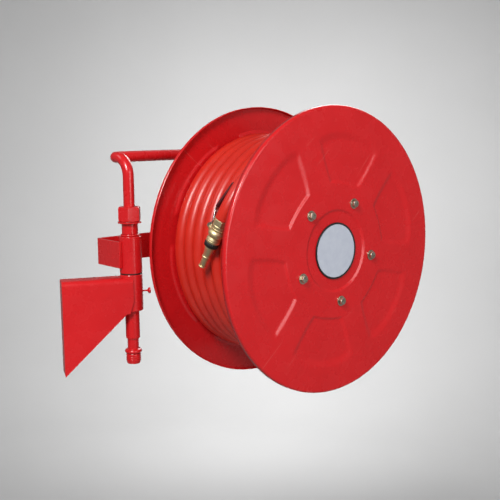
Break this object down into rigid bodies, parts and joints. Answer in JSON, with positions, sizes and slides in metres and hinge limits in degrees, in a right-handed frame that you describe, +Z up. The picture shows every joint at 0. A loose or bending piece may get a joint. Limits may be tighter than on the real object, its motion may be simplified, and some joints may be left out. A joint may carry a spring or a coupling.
{
  "type": "fire hose reel",
  "caption": "Swinging fire hose reel: pressed drum with wound hose and shut-off nozzle, on a strap arm, pivot tube and wall bracket.",
  "frame": {"origin": "middle of the wall plate's back face, on the wall", "axes": "+Z up, +Y into the wall, so the reel stands out along -Y; the drum's front faces -X and a little out from the wall at rest"},
  "size_m": [0.4309, 0.7591, 0.55],
  "materials": {
    "red_paint": "gloss",
    "hose_rubber": "satin",
    "zinc_plate": "satin",
    "brass": "satin",
    "bronze": "satin",
    "bright_steel": "satin",
    "black_rubber": "matte",
    "grip_vinyl": "matte",
    "blank_label": "satin",
    "nylon": "matte"
  },
  "bodies": {
    "bracket": {"wall_plate": "red_paint", "bracket_channel": "red_paint", "anchor_washer_1": "zinc_plate", "anchor_washer_2": "zinc_plate", "anchor_bolt_1": "zinc_plate", "anchor_bolt_2": "zinc_plate", "pivot_tube": "red_paint", "thrust_washer": "nylon", "riser_pipe": "red_paint", "inlet_collar": "red_paint", "inlet_nipple": "red_paint"},
    "lock_screw": {"lock_screw": "red_paint"},
    "swing_arm": {"pivot_sleeve": "red_paint", "sleeve_ring": "red_paint", "swivel_neck": "red_paint", "union_flange": "red_paint", "union_nut": "red_paint", "arm_strap": "red_paint", "feed_pipe": "red_paint", "water_block": "red_paint", "block_nut": "red_paint", "spindle": "bright_steel", "spindle_nut_back": "zinc_plate", "spindle_nut_front": "zinc_plate", "spindle_washer": "zinc_plate"},
    "drum": {"front_disc": "red_paint", "back_disc": "red_paint", "drum_core": "red_paint", "hub_plate_front": "red_paint", "hub_plate_back": "red_paint", "hub_tube": "red_paint", "bush_front": "bronze", "bush_back": "bronze", "hose_outlet": "brass", "label_plate": "blank_label", "label_ring": "black_rubber", "washer_front_1": "zinc_plate", "washer_front_2": "zinc_plate", "washer_front_3": "zinc_plate", "washer_front_4": "zinc_plate", "washer_front_5": "zinc_plate", "bolt_front_1": "zinc_plate", "bolt_front_2": "zinc_plate", "bolt_front_3": "zinc_plate", "bolt_front_4": "zinc_plate", "bolt_front_5": "zinc_plate", "bolt_back_1": "zinc_plate", "bolt_back_2": "zinc_plate", "bolt_back_3": "zinc_plate", "bolt_back_4": "zinc_plate", "bolt_back_5": "zinc_plate", "hose_coil": "hose_rubber", "hose_tail": "hose_rubber", "hose_ferrule": "brass", "valve_body": "brass", "nozzle_ring": "black_rubber", "nozzle_jet": "brass"},
    "valve_lever": {"valve_lever": "bright_steel", "lever_grip": "grip_vinyl", "lever_nut": "zinc_plate"}
  },
  "joints": [
    {"name": "arm_swing", "type": "hinge", "parent": "bracket", "child": "swing_arm", "pos_m": [0, -0.132, 0.1332], "axis": [0, 0, 1], "range_deg": [-58, 66]},
    {"name": "drum_spin", "type": "hinge", "parent": "swing_arm", "child": "drum", "pos_m": [0.00174, -0.4629, 0.1332], "axis": [-0.9135, -0.4067, 0], "continuous": true},
    {"name": "valve_turn", "type": "hinge", "parent": "drum", "child": "valve_lever", "pos_m": [-0.11103, -0.26214, 0.19163], "axis": [-0.8518, -0.2082, -0.4808], "range_deg": [0, 90]},
    {"name": "lock_screw_out", "type": "slide", "parent": "bracket", "child": "lock_screw", "axis": [0, -1, 0], "range_m": [0, 0.003]}
  ]
}
